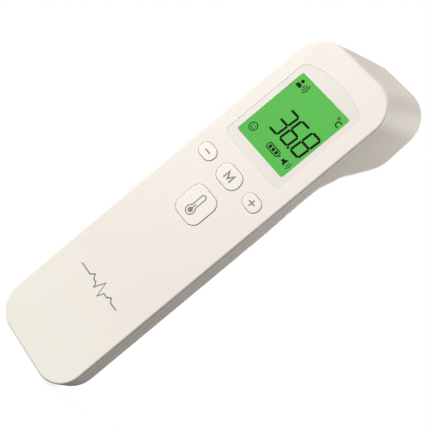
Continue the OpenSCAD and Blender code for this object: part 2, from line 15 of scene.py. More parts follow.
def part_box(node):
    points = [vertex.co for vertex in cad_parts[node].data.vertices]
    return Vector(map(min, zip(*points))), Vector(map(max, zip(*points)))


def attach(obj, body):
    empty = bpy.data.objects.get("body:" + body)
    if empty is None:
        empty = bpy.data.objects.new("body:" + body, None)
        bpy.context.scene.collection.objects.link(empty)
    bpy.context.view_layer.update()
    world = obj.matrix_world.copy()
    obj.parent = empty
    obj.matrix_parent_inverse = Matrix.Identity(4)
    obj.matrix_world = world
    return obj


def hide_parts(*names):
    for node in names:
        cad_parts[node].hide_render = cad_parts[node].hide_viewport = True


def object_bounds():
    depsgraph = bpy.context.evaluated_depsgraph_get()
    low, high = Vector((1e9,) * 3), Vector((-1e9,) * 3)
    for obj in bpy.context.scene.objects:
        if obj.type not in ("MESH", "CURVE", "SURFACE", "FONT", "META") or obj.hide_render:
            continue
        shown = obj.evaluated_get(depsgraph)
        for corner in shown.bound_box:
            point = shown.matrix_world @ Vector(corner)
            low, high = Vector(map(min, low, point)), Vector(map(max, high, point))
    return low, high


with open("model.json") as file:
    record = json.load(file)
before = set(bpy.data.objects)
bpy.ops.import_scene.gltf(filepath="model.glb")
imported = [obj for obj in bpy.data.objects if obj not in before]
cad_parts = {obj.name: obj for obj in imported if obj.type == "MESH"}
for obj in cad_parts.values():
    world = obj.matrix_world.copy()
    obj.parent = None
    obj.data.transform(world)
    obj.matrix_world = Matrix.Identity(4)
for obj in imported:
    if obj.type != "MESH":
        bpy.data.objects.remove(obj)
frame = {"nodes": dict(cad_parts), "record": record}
cad_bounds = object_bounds()

MM = 0.001


def box_mm(node):
    low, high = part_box(node)
    return np.array(low) / MM, np.array(high) / MM


# ---- dimensions, mm
front_low, front_high = box_mm("front_casing")
door_low, door_high = box_mm("battery_door")
glass_low, glass_high = box_mm("lcd_panel")
pane_low, pane_high = box_mm("display_window")
film_high = box_mm("window_gasket")[1]

HALF_W = front_high[0]  # half the width of the face
FACE_Y = front_low[1]  # plane of the front face
HANDLE_T = door_high[1] - FACE_Y  # thickness of the handle
FACE_H = 152.0  # height of the flat face
BOTTOM_R, TOP_R = 11.0, 12.0  # corners of the face
BACK_R, FRONT_R = 7.5, 0.8  # rounding of the back and front edges
WALL, SEAM, SEAM_GAP = 2.0, 5.0, 0.05  # the seam's depth behind the face
HORN_D, HORN_Z, HORN_H, HORN_W = 42.5, 151.0, 36.5, 39.5  # middle and size of the horn's end
TILT = math.radians(10.0)  # the sensor looks up by this much
HORN_R, RIM_R = 13.0, 3.5  # corners of the horn's end, rounding of its rim
NECK_Z, NECK_R = 115.5, 9.5  # where the back meets the head, before and after its rounding
WINDOW_ARCH = 35.0  # radius of the window's top
LCD_SIDE, LCD_BELOW, LCD_ABOVE = 1.0, 1.9, 0.8  # border of the glass hidden by the film
PLAY = 0.25  # between a key's flange and the casing behind the face


def y_at(depth):
    """The y coordinate of a depth behind the front face."""
    return FACE_Y + depth


# ---- mesh helpers
def new_object(name, verts, faces):
    mesh = bpy.data.meshes.new(name)
    mesh.from_pydata([tuple(float(c) * MM for c in v) for v in verts], [], faces)
    mesh.validate()
    obj = bpy.data.objects.new(name, mesh)
    bpy.context.scene.collection.objects.link(obj)
    tidy_mesh(obj)
    return obj


def tidy_mesh(obj):
    """Welds points that coincide and turns every face outwards."""
    same = 1e-7
    bm = bmesh.new()
    bm.from_mesh(obj.data)
    bmesh.ops.remove_doubles(bm, verts=bm.verts, dist=same)
    bmesh.ops.recalc_face_normals(bm, faces=bm.faces)
    bm.to_mesh(obj.data)
    bm.free()


def loft(name, rings, closed_along=False):
    """A solid skinned over rings of equal length; closed_along joins the last ring to the first."""
    n = len(rings[0])
    verts = [p for ring in rings for p in ring]
    faces = []
    spans = len(rings) if closed_along else len(rings) - 1
    for k in range(spans):
        a, b = k * n, ((k + 1) % len(rings)) * n
        for i in range(n):
            j = (i + 1) % n
            faces.append((a + i, a + j, b + j, b + i))
    if not closed_along:
        faces.append(tuple(range(n - 1, -1, -1)))
        faces.append(tuple((len(rings) - 1) * n + i for i in range(n)))
    return new_object(name, verts, faces)


def apply_modifiers(obj):
    """Bakes the object's modifiers into its mesh."""
    graph = bpy.context.evaluated_depsgraph_get()
    mesh = bpy.data.meshes.new_from_object(obj.evaluated_get(graph))
    old = obj.data
    obj.modifiers.clear()
    obj.data = mesh
    bpy.data.meshes.remove(old)


def discard(obj):
    mesh = obj.data
    bpy.data.objects.remove(obj)
    if mesh.users == 0:
        bpy.data.meshes.remove(mesh)


def combine(obj, operation, tools):
    """Cuts tools out of obj (DIFFERENCE), adds them (UNION) or keeps what they share (INTERSECT)."""
    for tool in tools:
        modifier = obj.modifiers.new("combine", "BOOLEAN")
        modifier.object = tool
        modifier.operation = operation
        modifier.solver = "MANIFOLD"
    apply_modifiers(obj)
    for tool in tools:
        discard(tool)
    return obj


def modified(obj, kind, **settings):
    """Adds one modifier with its settings and applies it."""
    modifier = obj.modifiers.new(kind.lower(), kind)
    for key, value in settings.items():
        setattr(modifier, key, value)
    apply_modifiers(obj)


def shade(obj, angle):
    """Smooth shading that keeps edges sharper than the angle and leaves flat faces flat."""
    obj.data.shade_smooth()
    obj.data.set_sharp_from_angle(angle=math.radians(angle))
    modified(obj, "WEIGHTED_NORMAL", mode="FACE_AREA", weight=80, keep_sharp=True)
    return obj


def flat_ring(points, depth):
    """The (x, z) points of an outline, set at a depth."""
    return [(x, y_at(depth), z) for x, z in points]


def rectangle(x0, x1, z0, z1):
    return [(x0, z0), (x1, z0), (x1, z1), (x0, z1)]


def block(x, depth, z):
    """A box given by its x range, depth range and z range."""
    return loft("block", [flat_ring(rectangle(*x, *z), f) for f in depth])


def unit(v):
    return v / np.linalg.norm(v)


def circle_points(r, steps):
    return [(r * math.cos(2 * math.pi * i / steps), r * math.sin(2 * math.pi * i / steps))
            for i in range(steps)]


def rod(x, z, f0, f1, r):
    """A round bar along the depth."""
    outline = [(x + a, z + b) for a, b in circle_points(r, 48)]
    return loft("rod", [flat_ring(outline, f) for f in (f0, f1)])


# ---- outlines, as (x, z) points
CORNER = 14


def arc_points(cx, cz, r, start, stop, steps):
    """Points of an arc between two angles in degrees."""
    return [(cx + r * math.cos(math.radians(start + (stop - start) * i / steps)),
             cz + r * math.sin(math.radians(start + (stop - start) * i / steps)))
            for i in range(steps + 1)]


def corner(cx, cz, r, start, steps=CORNER):
    return arc_points(cx, cz, r, start, start + 90, steps)


def rounded(x0, x1, z0, z1, r0, r1, steps=CORNER):
    """A rectangle with its lower and upper corners rounded by different radii."""
    return (corner(x1 - r0, z0 + r0, r0, -90, steps) + corner(x1 - r1, z1 - r1, r1, 0, steps)
            + corner(x0 + r1, z1 - r1, r1, 90, steps) + corner(x0 + r0, z0 + r0, r0, 180, steps))


def arched(half, z0, z1, r0, r1, arch):
    """A rounded rectangle whose top is an arc of a large radius."""
    steps, span = CORNER, 24
    middle = z1 - arch
    cz = middle + math.sqrt((arch - r1) ** 2 - (half - r1) ** 2)
    turn = math.degrees(math.atan2(cz - middle, half - r1))
    return (corner(half - r0, z0 + r0, r0, -90, steps)
            + arc_points(half - r1, cz, r1, 0, turn, steps)
            + arc_points(0, middle, arch, turn, 180 - turn, span)[1:-1]
            + arc_points(r1 - half, cz, r1, 180 - turn, 180, steps)
            + corner(r0 - half, z0 + r0, r0, 180, steps))


def rounding(r, steps):
    """(distance in from the edge, distance along) pairs of a quarter round."""
    return [(r * (1 - math.sin(math.pi / 2 * i / steps)),
             r * (1 - math.cos(math.pi / 2 * i / steps))) for i in range(steps + 1)]


# ---- outer form
# Side view, as (depth, z): the horn's end, the slopes above and below it, and the neck's round
END_UP = np.array([-math.sin(TILT), math.cos(TILT)])
END_MID = np.array([HORN_D, HORN_Z])
END_HIGH = END_MID + END_UP * HORN_H / 2
END_LOW = END_MID - END_UP * HORN_H / 2
UNDER = math.atan2(END_LOW[1] - NECK_Z, END_LOW[0] - HANDLE_T)
TOP_SLOPE = math.atan2(END_HIGH[1] - FACE_H, END_HIGH[0])
NECK_RUN = NECK_R * math.tan((math.pi / 2 - UNDER) / 2)
NECK_END = HANDLE_T + NECK_RUN * math.cos(UNDER)


def under_z(f):
    """Height of the underside of the head at a depth."""
    if f <= HANDLE_T:
        return NECK_Z - NECK_RUN
    if f < NECK_END:
        return NECK_Z - NECK_RUN + math.sqrt(NECK_R ** 2 - (HANDLE_T + NECK_R - f) ** 2)
    return NECK_Z + (f - HANDLE_T) * math.tan(UNDER)


def high_depth(f):
    """Depth of a ring's upper end: the rings lean back to meet the tilted end of the horn."""
    return f if f <= SEAM else SEAM + (f - SEAM) * (END_HIGH[0] - SEAM) / (END_LOW[0] - SEAM)


def top_z(f):
    return FACE_H + f * math.tan(TOP_SLOPE)


def share(f):
    """How far a ring has turned from the handle's section into the horn's."""
    return max(0.0, (f - BACK_R - SEAM) / (END_LOW[0] - BACK_R - SEAM))


def mixed(a, b, s):
    return a + (b - a) * s


def head_section(low, high, w, r0, r1, inset):
    """One ring of the head between two points of the side view, shrunk by inset."""
    low, high = np.array(low), np.array(high)
    tall = np.linalg.norm(high - low)
    up = (high - low) / tall
    base = low + up * inset
    flat = rounded(inset - w, w - inset, 0, tall - 2 * inset, r0 - inset, r1 - inset)
    return [(x, y_at(base[0] + up[0] * v), base[1] + up[1] * v) for x, v in flat]


def head_ring(f, inset):
    s, low_r = share(f), 10
    return head_section((f, under_z(f)), (high_depth(f), top_z(high_depth(f))),
                        mixed(HALF_W, HORN_W / 2, s), mixed(low_r, HORN_R, s),
                        mixed(TOP_R, HORN_R, s), inset)


def end_ring(inwards, inset):
    """A ring that far inwards from the end of the horn, shrunk by inset."""
    low = END_LOW - inwards / math.cos(UNDER - TILT) * np.array([math.cos(UNDER), math.sin(UNDER)])
    high = END_HIGH - inwards / math.cos(TOP_SLOPE - TILT) * np.array(
        [math.cos(TOP_SLOPE), math.sin(TOP_SLOPE)])
    return head_section(low, high, HORN_W / 2, HORN_R, HORN_R, inset)


def head_solid(name, first, inset):
    depths = [first + (HANDLE_T - first) * i / 6 for i in range(6)]
    depths += [HANDLE_T + (NECK_END - HANDLE_T) * (i / 12) ** 2 for i in range(13)]
    depths += [mixed(NECK_END, END_LOW[0] - RIM_R, i / 8) for i in range(1, 8)]
    rings = [head_ring(f, inset) for f in depths]
    rings += [end_ring(short + inset, edge + inset) for short, edge in rounding(RIM_R, 10)]
    return loft(name, rings)


def handle_solid(name, first, inset, top):
    """The handle from a depth to its back, up to a height, with its back edges rounded."""
    back, r = HANDLE_T - inset, BACK_R - inset
    rings = []
    stops = [(first, 0.0)] + [(back - short, edge) for short, edge in rounding(r, 14)]
    for f, edge in stops:
        e = inset + edge
        rings.append(flat_ring(rounded(e - HALF_W, HALF_W - e, e, top,
                                       max(BOTTOM_R - e, 0.4), 1.0), f))
    return loft(name, rings)


# ---- sensor axis
AXIS = Vector((0, math.cos(TILT), math.sin(TILT)))
AXIS_UP = Vector((0, -math.sin(TILT), math.cos(TILT)))
AXIS_MOUTH = Vector((0, y_at(HORN_D), HORN_Z))


def axis_point(r, angle, inwards):
    p = AXIS_MOUTH - AXIS * inwards + AXIS_UP * (r * math.sin(angle))
    return (p.x + r * math.cos(angle), p.y, p.z)


def turned(name, profile, steps=96, place=axis_point):
    """A solid of revolution from (radius, distance inwards) points. A profile that starts on the
    axis is open and ends there; any other one is closed."""
    rings = [[place(r, 2 * math.pi * i / steps, s) for i in range(steps)] for r, s in profile]
    return loft(name, rings, closed_along=profile[0][0] > 0)


def soften(points, radii, steps=5, closed=True):
    """Rounds the corners of a polyline of 2-D points by the given radii."""
    out, n = [], len(points)
    for i, p in enumerate(points):
        r = radii[i] if isinstance(radii, (list, tuple)) else radii
        if r <= 0 or (not closed and i in (0, n - 1)):
            out.append(tuple(p))
            continue
        a, b = np.subtract(points[i - 1], p), np.subtract(points[(i + 1) % n], p)
        la, lb = np.linalg.norm(a), np.linalg.norm(b)
        a, b = a / la, b / lb
        half = math.acos(max(-1.0, min(1.0, float(a @ b)))) / 2
        if half < 1e-3 or abs(half - math.pi / 2) < 1e-3:
            out.append(tuple(p))
            continue
        cut = min(r / math.tan(half), 0.49 * la, 0.49 * lb)
        r = cut * math.tan(half)
        centre = p + (a + b) / np.linalg.norm(a + b) * (r / math.sin(half))
        start, stop = p + a * cut - centre, p + b * cut - centre
        a0, a1 = math.atan2(start[1], start[0]), math.atan2(stop[1], stop[0])
        turn = (a1 - a0 + math.pi) % (2 * math.pi) - math.pi
        for k in range(steps + 1):
            t = a0 + turn * k / steps
            out.append((centre[0] + r * math.cos(t), centre[1] + r * math.sin(t)))
    return out


def tube(name, path, r):
    """A round wire swept along a path of points."""
    sides = 14
    path = [Vector(p) for p in path]
    rings = []
    tangent = (path[1] - path[0]).normalized()
    side = tangent.orthogonal().normalized()
    for i, p in enumerate(path):
        ahead, behind = path[min(i + 1, len(path) - 1)], path[max(i - 1, 0)]
        tangent = (ahead - behind).normalized()
        side = (side - tangent * side.dot(tangent)).normalized()
        up = tangent.cross(side)
        rings.append([tuple(p + side * (r * math.cos(a)) + up * (r * math.sin(a)))
                      for a in [2 * math.pi * k / sides for k in range(sides)]])
    return loft(name, rings)


# ---- outlines of the keys and the window
FLANGE = 0.8
CAP_SINK = 0.12  # the caps stand this much lower than the slabs of the CAD keys
KEYS = {}
for key_name, corner_r in (("minus", None), ("mode", None), ("plus", None), ("measure", 3.6)):
    low, high = box_mm(key_name + "_button")
    w, h = high[0] - low[0] - 2 * FLANGE, high[2] - low[2] - 2 * FLANGE
    KEYS[key_name] = {
        "x": (low[0] + high[0]) / 2, "z": (low[2] + high[2]) / 2, "w": w, "h": h,
        "r": corner_r or 0.47 * h, "top": low[1] - FACE_Y, "back": high[1] - FACE_Y,
    }


def key_outline(key, grow):
    k = KEYS[key]
    half_w, half_h, r = k["w"] / 2 + grow, k["h"] / 2 + grow, k["r"] + grow
    return rounded(k["x"] - half_w, k["x"] + half_w, k["z"] - half_h, k["z"] + half_h, r, r, 12)


def pane_outline(grow):
    low_r, high_r = 2.5, 4.0
    return arched(pane_high[0] + grow, pane_low[2] - grow, pane_high[2] + grow, low_r + grow,
                  high_r + grow, WINDOW_ARCH + grow)


def flared_cutter(name, outline, depth, edge):
    """Cuts a pocket whose mouth is rounded by edge. outline(grow) gives its points."""
    start_above = 0.6
    rings = [flat_ring(outline(edge), -start_above)]
    rings += [flat_ring(outline(inwards), along) for inwards, along in rounding(edge, 6)]
    rings.append(flat_ring(outline(0.0), depth))
    return loft(name, rings)


# ---- casings
LEDGE = film_high[1] - FACE_Y  # depth at which the window's ledge starts
SCREW_AT = [(-9.0, door_high[2] - 4.6), (9.0, door_high[2] - 4.6), (0.0, 6.2)]
DOOR_DEPTH = door_low[1] - FACE_Y
POST_END = DOOR_DEPTH - 3.1  # where the front screw posts stop


def glass_hole():
    grow, corner_r = 0.25, 0.4
    return rounded(glass_low[0] - grow, glass_high[0] + grow, glass_low[2] - grow,
                   glass_high[2] + grow, corner_r, corner_r, 4)


def face_outline(f, inset):
    return rounded(inset - HALF_W, HALF_W - inset, inset, top_z(f) - inset,
                   BOTTOM_R - inset, TOP_R - inset, 18)


def make_front_shell():
    """The front casing: flat face, thin walls, a tongue at the seam and the screw posts."""
    end, lip, pane_gap, key_gap, key_mouth = SEAM - SEAM_GAP, 0.10, 0.03, 0.08, 0.3
    rings = [flat_ring(face_outline(f, inwards), f) for inwards, f in rounding(FRONT_R, 12)]
    rings += [flat_ring(face_outline(end - short, inwards), end - short)
              for short, inwards in rounding(lip, 5)]
    rings.append(flat_ring(face_outline(end, WALL), end))
    rings.append(flat_ring(face_outline(WALL, WALL), WALL))
    shell = loft("front_shell", rings)
    root, outer, inner = WALL - 0.5, WALL + 0.1, WALL + 1.1
    tongue = loft("tongue", [
        flat_ring(face_outline(f, inset), depth) for f, inset, depth in
        ((root, inner, root), (SEAM, inner, SEAM + 1.5), (SEAM, outer, SEAM + 1.5),
         (root, outer, root))], closed_along=True)
    ledge = loft("ledge", [flat_ring(pane_outline(1.0), LEDGE - 0.2),
                           flat_ring(pane_outline(1.0), LEDGE + 1.0)])
    posts = [rod(x, z, WALL - 0.2, POST_END, 2.7) for x, z in SCREW_AT]
    combine(shell, "UNION", [tongue, ledge] + posts)
    cutters = [
        flared_cutter("pocket", lambda g: pane_outline(pane_gap + g), LEDGE, pane_gap),
        loft("glass_hole", [flat_ring(glass_hole(), f) for f in (-0.3, SEAM)]),
    ]
    for key in KEYS:
        cutters.append(flared_cutter(
            key, lambda g, key=key: key_outline(key, key_gap + g), WALL + 0.5, key_mouth))
    combine(shell, "DIFFERENCE", cutters)
    return shade(shell, 30)


def smoothed(obj, rounds, weight=None):
    """Evens out the surface, each point by its weight if there are weights."""
    settings = {"factor": 0.5, "iterations": rounds}
    if weight is not None:
        group = obj.vertex_groups.new(name="blend")
        for index, value in enumerate(weight):
            if value > 0.01:
                group.add([index], float(value), "REPLACE")
        settings["vertex_group"] = group.name
    modified(obj, "SMOOTH", **settings)


RAIL_W, RAIL_T = 1.0, 0.6


def door_cutter(grow, top):
    """The door's panel and rails, grown all round, to cut the seat that they slide in."""
    half = door_high[0] - RAIL_W + grow
    wide = half + RAIL_W
    return [block((-half, half), (DOOR_DEPTH - grow, HANDLE_T + 3), (-3, top)),
            block((-wide, wide), (DOOR_DEPTH - grow, DOOR_DEPTH + RAIL_T + grow), (-3, top))]


def make_rear_shell():
    """The rear casing: handle and horn blended at the neck, battery bay, door seat and bore."""
    voxel = 0.42
    first = 3.0  # it starts here and is then cut off at the seam
    shell = handle_solid("rear_shell", first, 0.0, NECK_Z + 5)
    combine(shell, "UNION", [head_solid("head", first, 0.0)])
    modified(shell, "REMESH", mode="VOXEL", voxel_size=voxel * MM, adaptivity=0.0)
    co = np.zeros(len(shell.data.vertices) * 3)
    shell.data.vertices.foreach_get("co", co)
    co = co.reshape(-1, 3) / MM
    # the neck is blended softly; the front edge and the horn keep their shape
    near_neck = np.clip(1.3 - np.abs(co[:, 2] - (NECK_Z - 5)) / 15, 0, 1)
    near_back = np.clip((co[:, 1] - y_at(6.0)) / 3, 0, 1)
    away = np.clip((y_at(30.0) - co[:, 1]) / 8, 0, 1)
    smoothed(shell, 400, near_neck * near_back * away)
    smoothed(shell, 6)

    inside = handle_solid("inside", first - 0.5, WALL, NECK_Z + 8)
    hollow = head_solid("hollow", first - 0.5, WALL)
    in_front = block((-60, 60), (-20, SEAM), (-20, 200))
    combine(shell, "DIFFERENCE", [in_front, inside, hollow])
    cell_low, cell_high = box_mm("battery_left")[0], box_mm("battery_right")[1]
    side_gap, floor_gap, bay_wall = 0.4, 0.25, 1.1
    bay_x, bay_z = (cell_low[0] - side_gap, cell_high[0] + side_gap), (11.5, 63.5)
    floor_f = cell_low[1] - FACE_Y - floor_gap
    ledge_back = DOOR_DEPTH - 0.3
    shelf = block((-HALF_W + 1.5, HALF_W - 1.5), (ledge_back - 1.2, ledge_back + 0.3),
                  (1.5, door_high[2] + 3))
    combine(shelf, "INTERSECT", [handle_solid("keep", first, WALL - 0.3, NECK_Z)])
    tray = block((bay_x[0] - bay_wall, bay_x[1] + bay_wall), (floor_f - bay_wall, ledge_back),
                 (bay_z[0] - bay_wall, bay_z[1] + bay_wall))
    post_r, shank_r, head_r = 3.4, 1.25, 2.35
    posts = [rod(x, z, POST_END + 0.1, ledge_back, post_r) for x, z in SCREW_AT]
    combine(shell, "UNION", [shelf, tray] + posts)
    cutters = [block(bay_x, (floor_f, HANDLE_T + 1), bay_z)] + door_cutter(0.3, door_high[2] + 0.3)
    for x, z in SCREW_AT:
        cutters.append(rod(x, z, SEAM, HANDLE_T + 2, shank_r))
        cutters.append(rod(x, z, ledge_back - 1.3, HANDLE_T + 2, head_r))
    for name, r, start, stop in (("bore", 10.4, -2, 6), ("seat", 11.7, -3, 0.9)):
        cutters.append(turned(name, [(0, start), (r, start), (r, stop), (0, stop)]))
    combine(shell, "DIFFERENCE", cutters)
    return shade(shell, 38)


def make_door():
    """The battery door with its rails, finger grooves and an arrow for the way it slides."""
    panel = handle_solid("door_panel", 3.0, 0.0, NECK_Z)
    half = door_high[0] - RAIL_W
    keep = block((-half, half), (DOOR_DEPTH, HANDLE_T + 2), (-1, door_high[2]))
    combine(panel, "INTERSECT", [keep])
    modified(panel, "BEVEL", width=0.28 * MM, segments=4, limit_method="ANGLE",
             angle_limit=math.radians(40), use_clamp_overlap=False)
    rails = handle_solid("rails", 3.0, 0.3, NECK_Z)
    combine(rails, "INTERSECT", [block((-door_high[0], door_high[0]),
                                       (DOOR_DEPTH + 0.02, DOOR_DEPTH + RAIL_T),
                                       (0, door_high[2] - 0.3))])
    combine(panel, "UNION", [rails])
    cutters = []
    half_l, r, deep, pitch = 7.0, 0.62, 0.5, 2.4
    ends = ((-half_l, 0.25), (-half_l + 0.25, 0.75), (-half_l + 0.6, 1.0))
    stops = ends + tuple((-x, scale) for x, scale in reversed(ends))
    section = [(r * math.cos(math.pi * k / 8), -deep * math.sin(math.pi * k / 8))
               for k in range(9)] + [(-r, 1.0), (r, 1.0)]
    for i in range(5):
        z = door_high[2] - 9.45 - pitch * i
        cutters.append(loft("groove", [
            [(x, y_at(HANDLE_T + (v if v > 0 else v * scale)), z + u) for u, v in section]
            for x, scale in stops]))
    tip = door_high[2] - 27.0
    arrow = soften([(-2.6, tip + 3.2), (2.6, tip + 3.2), (0.0, tip)], 0.35, 4)
    cutters.append(loft("arrow", [flat_ring(arrow, HANDLE_T + f) for f in (-0.3, 1)]))
    combine(panel, "DIFFERENCE", cutters)
    return shade(panel, 30)


# ---- display
def plate(name, outline, f0, f1, edge):
    """A flat piece between two depths with rounded edges all round. outline(grow) gives it."""
    turns = rounding(edge, 4)
    rings = [flat_ring(outline(-inwards), f0 + along) for inwards, along in turns]
    rings += [flat_ring(outline(-inwards), f1 - along) for inwards, along in reversed(turns)]
    return loft(name, rings)


PANE_FRONT, PANE_SKIN = 0.02, 0.05
LCD_X = (glass_low[0] + LCD_SIDE, glass_high[0] - LCD_SIDE)
LCD_Z = (glass_low[2] + LCD_BELOW, glass_high[2] - LCD_ABOVE)
FILM_FRONT, FILM_LIP = PANE_FRONT + PANE_SKIN + 0.01, 0.2
GLASS_FRONT = FILM_FRONT + FILM_LIP + 0.02
NEARLY_FLAT = 4000.0  # radius of an arch that reads as a straight top


def make_film():
    """The white border just under the skin of the window: a thin lip frames the display, and
    the glass stands in a pocket behind it."""
    opening = arched(LCD_X[1], *LCD_Z, 0.9, 0.9, NEARLY_FLAT)
    pocket = arched(glass_high[0] + 0.12, glass_low[2] - 0.12, glass_high[2] + 0.12, 0.5, 0.5,
                    NEARLY_FLAT)
    lip = FILM_FRONT + FILM_LIP
    rings = [flat_ring(outline, depth) for outline, depth in
             ((pane_outline(0.0), FILM_FRONT), (pane_outline(0.0), LEDGE), (pocket, LEDGE),
              (pocket, lip), (opening, lip), (opening, FILM_FRONT))]
    return loft("window_film", rings, closed_along=True)


class Print:
    """Thin printed marks on a plane at one depth: every mark is a closed sliver of ink."""

    def __init__(self, name, depth, thick=0.03):
        self.name, self.verts, self.faces = name, [], []
        self.front, self.back = y_at(depth - thick), y_at(depth)

    def _put(self, points):
        start = len(self.verts)
        for y in (self.front, self.back):
            self.verts += [(x, y, z) for x, z in points]
        return start, len(points)

    def shape(self, points):
        """A filled polygon."""
        a, n = self._put(points)
        self.faces += [tuple(a + i for i in range(n)), tuple(a + n + i for i in reversed(range(n)))]
        self.faces += [(a + i, a + n + i, a + n + (i + 1) % n, a + (i + 1) % n) for i in range(n)]

    def disc(self, x, z, r, steps=28):
        self.shape([(x + a, z + b) for a, b in circle_points(r, steps)])

    def line(self, points, width, closed=False):
        """A line of constant width with mitred joints."""
        points = [np.array(p, float) for p in points]
        n = len(points)
        left, right = [], []
        runs = [unit(points[(i + 1) % n] - p) for i, p in enumerate(points)]
        for i, p in enumerate(points):
            d0 = runs[i - 1] if closed or i else runs[0]
            d1 = runs[i] if closed or i < n - 1 else d0
            n0, n1 = np.array([-d0[1], d0[0]]), np.array([-d1[1], d1[0]])
            m = unit(n0 + n1)
            m = m * min(width / 2 / max(float(m @ n0), 0.4), width)
            left.append(p + m)
            right.append(p - m)
        a, _ = self._put(left + right)
        corners = (a, a + n, a + 3 * n, a + 2 * n)  # left and right in front, then behind
        for i in range(n if closed else n - 1):
            j = (i + 1) % n
            for b, c in zip(corners, corners[1:] + corners[:1]):
                self.faces.append((b + i, b + j, c + j, c + i))
        if not closed:
            self.faces += [tuple(b + i for b in corners) for i in (0, n - 1)]

    def ring(self, x, z, r, width, steps=32):
        self.line([(x + a, z + b) for a, b in circle_points(r, steps)], width, closed=True)

    def arc(self, x, z, r, width, start, stop, steps=14):
        self.line(arc_points(x, z, r, start, stop, steps), width)

    def build(self):
        return new_object(self.name, self.verts, self.faces)


SEGMENTS = {"3": "abgcd", "6": "acdefg", "8": "abcdefg"}


def digit(ink, value, x0, x1, z0, z1, width, slant):
    """A seven-segment figure in a box, leaning to the right by slant."""
    half, gap, point = width / 2, width * 0.07, width * 0.4
    low, mid, high, left, right = z0 + half, (z0 + z1) / 2, z1 - half, x0 + half, x1 - half
    ends = {"a": ((left, high), (right, high)), "b": ((right, mid), (right, high)),
            "c": ((right, low), (right, mid)), "d": ((left, low), (right, low)),
            "e": ((left, low), (left, mid)), "f": ((left, mid), (left, high)),
            "g": ((left, mid), (right, mid))}
    for part in SEGMENTS[value]:
        start, stop = np.array(ends[part])
        along = unit(stop - start)
        start, stop, taper, across = (start + along * gap, stop - along * gap, along * point,
                                      along[::-1] * half)
        outline = [start, start + taper + across, stop - taper + across,
                   stop, stop - taper - across, start + taper - across]
        ink.shape([(x + (z - z0) * slant, z) for x, z in outline])


def make_lcd_marks():
    """What the display shows, placed by shares of its width (u) and height (v)."""
    ink = Print("lcd_marks", GLASS_FRONT - 0.004, 0.01)
    w, h = LCD_X[1] - LCD_X[0], LCD_Z[1] - LCD_Z[0]

    def u(part):
        return LCD_X[0] + part * w

    def v(part):
        return LCD_Z[1] - part * h + 0.25

    for value, a, b in (("3", 0.277, 0.477), ("6", 0.507, 0.705), ("8", 0.742, 0.942)):
        digit(ink, value, u(a), u(b), v(0.735), v(0.39), 0.9, 0.06)
    ink.disc(u(0.715), v(0.725), 0.5, 20)
    # Person, for a reading of body temperature
    x, feet, shoulders = u(0.10), v(0.17), v(0.12)
    ink.disc(x, v(0.085), 0.68, 24)
    ink.shape(soften(rectangle(x - 1.1, x + 1.1, feet, shoulders), [0.1, 0.1, 0.8, 0.8], 6))
    for r in (1.2, 2.1, 3.0):
        ink.arc(u(0.125), v(0.125), r, 0.36, -38, 38, 10)
    # Degrees Celsius
    ink.ring(u(0.872), v(0.082), 0.42, 0.3, 20)
    ink.arc(u(0.935), v(0.135), 1.0, 0.46, 50, 310, 18)
    # Smiling face, for a reading in the normal range
    x, z = u(0.137), v(0.854)
    ink.ring(x, z, 1.55, 0.36, 40)
    for side in (-0.55, 0.55):
        ink.disc(x + side, z + 0.42, 0.25, 14)
    ink.arc(x, z + 0.1, 0.85, 0.3, 205, 335, 12)
    # Battery
    x, z = u(0.605), v(0.862)
    ink.line(soften(rectangle(x - 3, x + 2.6, z - 1.1, z + 1.1), 0.5, 4), 0.36, closed=True)
    for a, b, half in ((-2.3, -1.2, 0.65), (-0.7, 0.4, 0.65), (0.9, 2.0, 0.65), (2.95, 3.4, 0.5)):
        ink.shape(rectangle(x + a, x + b, z - half, z + half))
    # Sound
    x, z = u(0.833), v(0.862)
    ink.shape([(x - 1.0, z - 0.55), (x - 0.2, z - 0.55), (x + 0.9, z - 1.5), (x + 0.9, z + 1.5),
               (x - 0.2, z + 0.55), (x - 1.0, z + 0.55)])
    for r in (1.0, 1.8):
        ink.arc(x + 1.0, z, r, 0.3, -48, 48, 10)
    return ink.build()


# ---- keys
def make_cap(name):
    """A key: a rounded cap, a flange behind the face and a stem down to its switch."""
    key = KEYS[name]
    edge = 0.34
    top, back = key["top"] + CAP_SINK, key["back"]
    flange_front = WALL + PLAY
    flange_back = flange_front + FLANGE
    rings = [flat_ring(key_outline(name, -inwards), top + along)
             for inwards, along in rounding(edge, 6)]
    rings += [flat_ring(key_outline(name, grow), f) for grow, f in
              ((0, flange_front), (FLANGE, flange_front), (FLANGE, flange_back))]
    cap = loft(name + "_cap", rings)
    stem = rod(key["x"], key["z"], flange_back - 0.2, back, 1.1)
    combine(cap, "UNION", [stem])
    return shade(cap, 35)


def key_mark(name):
    """The printed sign of a key: minus, plus, M, or a thermometer on the measuring key."""
    key = KEYS[name]
    x, z = key["x"], key["z"]
    ink = Print(name + "_mark", key["top"] + CAP_SINK + 0.004, 0.02)
    width = 0.5
    if name in ("minus", "plus"):
        ink.line([(x - 1.4, z), (x + 1.4, z)], width)
    if name == "plus":
        for side in (-1, 1):
            ink.line([(x, z + side * width / 2), (x, z + side * 1.35)], width)
    if name == "mode":
        ink.line([(x - 1.45, z - 1.6), (x - 1.45, z + 1.45), (x, z - 0.9),
                  (x + 1.45, z + 1.45), (x + 1.45, z - 1.6)], 0.68)
    if name == "measure":
        bulb_z, bulb_r, stem_r, top = z - 2.5, 1.75, 0.95, z + 3.4
        start = math.degrees(math.asin(stem_r / bulb_r))
        ink.line(arc_points(x, bulb_z, bulb_r, 90 + start, 450 - start, 33)
                 + arc_points(x, top, stem_r, 0, 180, 15), 0.42, closed=True)
        ink.disc(x, bulb_z, 0.98)
        ink.line([(x, bulb_z + 0.9), (x, z + 0.2)], 0.4)
    return ink.build()


